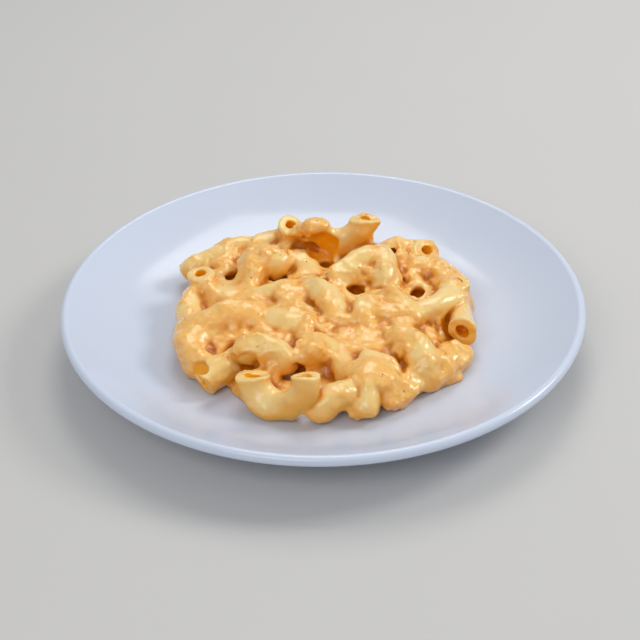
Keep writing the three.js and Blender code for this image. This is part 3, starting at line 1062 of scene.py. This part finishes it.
# Painted shade: the darker orange of sauce on the sides that turn away from the light above.
SAUCE_SIDE_PAINTED_SHADE = from_screen(240, 162, 42)
SAUCE_RED = from_screen(240, 158, 58)
# Painted shade: the darker, deeper orange of nooks, and the deepest of nooks in hollows.
NOOK_PAINTED_SHADE = from_screen(236, 152, 8)
DEEP_PAINTED_SHADE = from_screen(190, 106, 0)
# Painted shade inside the bores and torn places: the saturated orange of shade and of light let through
# the pasta walls.
BORE_PAINTED_SHADE = from_screen(255, 178, 16)

# Where each finish begins and where it is full, on the numbers of the skin and on the noises.
SAUCED_COAT = (0.05, 0.85)
# The tilt, nook, hollow and bore ranges below set where painted shade begins and is full.
PAINTED_SIDE_SHADE_TILT = (0.15, 1.15)
NOOK_FILL = (0.49, 0.66)
HOLLOW_PAINTED_SHADE_FILL = (0.46, 0.70)
BORE_WALL = (-0.05, 0.5)
CREAM_CLOUD = (0.35, 0.7)
PALE_CURD = (0.50, 0.72)
RED_GRAIN = (0.56, 0.72)

# How strongly each colour is laid on, at most, and how far the clouds shift where it begins.
# The side and nook strengths and the bore shade are for painted shade; the red is paprika.
PAINTED_SIDE_SHADE_STRENGTH = 0.8
RED_STRENGTH = 0.35
NOOK_PAINTED_SHADE_STRENGTH = 0.9
BORE_SHADE = 0.7
COAT_SHIFT = 0.6
TILT_SHIFT = 0.4

# Relief and gloss, each as its value on bare pasta and what is added to it under sauce.
CURD_RELIEF = (0.5, 0.7)
GRAIN_RELIEF = (0.1, 0.16)
CLOUD_RELIEF = 0.7
ROUGHNESS = (0.15, -0.03)
ROUGHNESS_CLOUD = 0.06
WETNESS = (0.3, 0.35)
NOOK_DULLING = 0.8


def number(tree, name):
    return tree.node("ShaderNodeAttribute", {"attribute_name": name}, {}, "Fac")


def heap_finish(tree):
    where = tree.node("ShaderNodeTexCoord", {}, {}, "Object")
    cloud = tree.node("ShaderNodeTexNoise", {}, {"Vector": where, "Scale": 130.0, "Detail": 4.0})
    curd = tree.node("ShaderNodeTexNoise", {}, {"Vector": where, "Scale": 420.0, "Detail": 3.0})
    grain = tree.node("ShaderNodeTexNoise", {}, {"Vector": where, "Scale": 1300.0, "Detail": 3.0})
    shift = cloud - 0.5
    coat = number(tree, "coat") + shift * COAT_SHIFT
    sauced = tree.between(coat, *SAUCED_COAT)
    # Mask of painted shade on the sides, from how far the skin tilts away from facing up.
    painted_side_shade = tree.between(number(tree, "tilt") + shift * TILT_SHIFT, *PAINTED_SIDE_SHADE_TILT)
    # The nook and hollow masks lay on painted shade; the nook also dulls the wet coat.
    nook = tree.between(number(tree, "nook"), *NOOK_FILL)
    hollow = tree.between(number(tree, "hollow"), *HOLLOW_PAINTED_SHADE_FILL)
    # Mask of painted shade inside the bores and torn places.
    inside = 1 - tree.between(number(tree, "bore"), *BORE_WALL)
    pasta = tree.mix(tree.between(cloud, *CREAM_CLOUD), PASTA, PASTA_CREAM)
    pasta = tree.mix(painted_side_shade, pasta, PASTA_SIDE_PAINTED_SHADE)
    sauce = tree.mix(tree.between(curd, *PALE_CURD), SAUCE, SAUCE_PALE)
    sauce = tree.mix(painted_side_shade * PAINTED_SIDE_SHADE_STRENGTH, sauce, SAUCE_SIDE_PAINTED_SHADE)
    sauce = tree.mix(tree.between(grain, *RED_GRAIN) * RED_STRENGTH, sauce, SAUCE_RED)
    colour = tree.mix(sauced, pasta, sauce)
    # Painted shade: deeper orange in nooks, deepest where a nook lies in a hollow, and in the bores.
    colour = tree.mix(nook * NOOK_PAINTED_SHADE_STRENGTH, colour, NOOK_PAINTED_SHADE)
    colour = tree.mix(hollow * nook, colour, DEEP_PAINTED_SHADE)
    colour = tree.mix(inside, colour, tree.mix(hollow * BORE_SHADE, BORE_PAINTED_SHADE, NOOK_PAINTED_SHADE))

    def on(pasta_value, added):
        """The value on bare pasta, and more or less of it where sauce lies."""
        return pasta_value + sauced * added

    height = curd * on(*CURD_RELIEF) + grain * on(*GRAIN_RELIEF) + cloud * CLOUD_RELIEF
    bump = tree.node("ShaderNodeBump", {}, {"Height": height, "Strength": 0.8, "Distance": 0.45 * MM})
    return {
        "Base Color": colour,
        "Roughness": on(*ROUGHNESS) + cloud * ROUGHNESS_CLOUD,
        "Normal": bump,
        "IOR": 1.45,
        "Coat Weight": on(*WETNESS) * (1 - nook * NOOK_DULLING),
        "Coat Roughness": 0.07,
        "Coat IOR": 1.4,
        "Subsurface Weight": 0.4,
        "Subsurface Radius": (1.0, 0.5, 0.12),
        "Subsurface Scale": 2.6 * MM,
    }


mac.data.materials.clear()
mac.data.materials.append(new_material("macaroni_in_cheese_sauce", heap_finish))
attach(mac, BODY)
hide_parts("macaroni_heap")

# %% [markdown]
# ## Pepper and paprika
#
# The sauce is seasoned: a few dark flakes of pepper, and many small red grains of paprika. Painted
# dots would vanish in a close view, so they are real grains. Geometry Nodes strew a lumpy grain over
# the skin, turn and size each one at random, and make them one mesh at the end.

# %% The nodes that strew grains
GRAIN_LUMPS = 1.7
TURN_SEED = 3


def strewing_group():
    group = bpy.data.node_groups.new("strew_grains", "GeometryNodeTree")
    face = group.interface
    face.new_socket("Skin", in_out="INPUT", socket_type="NodeSocketGeometry")
    for name in ("Density", "Smallest", "Largest", "Least Coat"):
        face.new_socket(name, in_out="INPUT", socket_type="NodeSocketFloat")
    face.new_socket("Seed", in_out="INPUT", socket_type="NodeSocketInt")
    face.new_socket("Grain", in_out="INPUT", socket_type="NodeSocketMaterial")
    face.new_socket("Grains", in_out="OUTPUT", socket_type="NodeSocketGeometry")
    tree = Tree(group)
    given = group.nodes.new("NodeGroupInput")
    value = {s.name: Wire(tree, s) for s in given.outputs}
    normal = tree.node("GeometryNodeInputNormal")
    upward = tree.node("ShaderNodeSeparateXYZ", {}, {0: normal}, "Z")
    coat = tree.node("GeometryNodeInputNamedAttribute", {"data_type": "FLOAT"}, {"Name": "coat"})
    above = {"operation": "GREATER_THAN"}
    coated = tree.node("FunctionNodeCompare", above, {0: coat, 1: value["Least Coat"]})
    facing = tree.node("FunctionNodeCompare", above, {0: upward, 1: 0.0})
    chosen = tree.node("FunctionNodeBooleanMath", {"operation": "AND"}, {0: coated, 1: facing})
    spots = tree.node("GeometryNodeDistributePointsOnFaces", {}, {
        "Mesh": value["Skin"], "Selection": chosen, "Density": value["Density"], "Seed": value["Seed"]})
    ball = tree.node("GeometryNodeMeshIcoSphere", {}, {"Radius": 1.0, "Subdivisions": 2})
    lumps = tree.node("ShaderNodeTexNoise", {}, {"Scale": GRAIN_LUMPS, "Detail": 1.0}, "Color")
    centred = tree.node("ShaderNodeVectorMath", {"operation": "SUBTRACT"}, {0: lumps, 1: (0.5, 0.5, 0.5)})
    grain = tree.node("GeometryNodeSetPosition", {}, {"Geometry": ball, "Offset": centred})
    low = tree.node("ShaderNodeCombineXYZ", {}, {k: value["Smallest"] for k in "XYZ"})
    high = tree.node("ShaderNodeCombineXYZ", {}, {k: value["Largest"] for k in "XYZ"})
    size = tree.node("FunctionNodeRandomValue", {"data_type": "FLOAT_VECTOR"}, {0: low, 1: high})
    turn = tree.node("FunctionNodeRandomValue", {"data_type": "FLOAT_VECTOR"},
                     {0: (0.0, 0.0, 0.0), 1: (math.tau, math.tau, math.tau), "Seed": TURN_SEED})
    strewn = tree.node("GeometryNodeInstanceOnPoints", {},
                       {"Points": spots, "Instance": grain, "Rotation": turn, "Scale": size})
    real = tree.node("GeometryNodeRealizeInstances", {}, {"Geometry": strewn})
    dyed = tree.node("GeometryNodeSetMaterial", {}, {"Geometry": real, "Material": value["Grain"]})
    tree.node("NodeGroupOutput", {}, {0: dyed})
    return group


def grain_finish(dark, light, gloss):
    """A grain's finish: two shades in small patches, and a gloss."""
    def make(tree):
        where = tree.node("ShaderNodeTexCoord", {}, {}, "Object")
        patch = tree.node("ShaderNodeTexNoise", {}, {"Vector": where, "Scale": 900.0, "Detail": 2.0})
        bump = tree.node("ShaderNodeBump", {}, {"Height": patch, "Strength": 0.4, "Distance": 0.1 * MM})
        shade = tree.mix(tree.between(patch, 0.4, 0.6), dark, light)
        return {"Base Color": shade, "Roughness": gloss + patch * 0.2, "Normal": bump}
    return make


# %% Strew the grains
GRAINS = {
    "pepper_flakes": {
        "shades": (from_screen(92, 50, 28), from_screen(150, 86, 46)), "gloss": 0.45,
        "Density": 2800.0, "Smallest": 0.14 * MM, "Largest": 0.32 * MM, "Least_Coat": -1.0, "Seed": 4,
    },
    "paprika_grains": {
        "shades": (from_screen(206, 104, 44), from_screen(226, 134, 66)), "gloss": 0.4,
        "Density": 70000.0, "Smallest": 0.07 * MM, "Largest": 0.17 * MM, "Least_Coat": 0.3, "Seed": 9,
    },
}


def strew(name, shades, gloss, **inputs):
    maker = bpy.data.objects.new(name, mac.data.copy())
    bpy.context.scene.collection.objects.link(maker)
    finish = new_material(name, grain_finish(*shades, gloss))
    add_nodes(maker, grain_nodes, Grain=finish, **inputs)
    grains = as_settled_mesh(name, maker)
    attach(grains, BODY)
    measure(grains)


grain_nodes = strewing_group()
for grain_name, facts in GRAINS.items():
    strew(grain_name, **facts)

# %% [markdown]
# ## Size and finish
#
# The finished pieces are measured once more, and the size of their box is printed.

# %% Sizes
final_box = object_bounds()
show_size("finished box", *final_box)
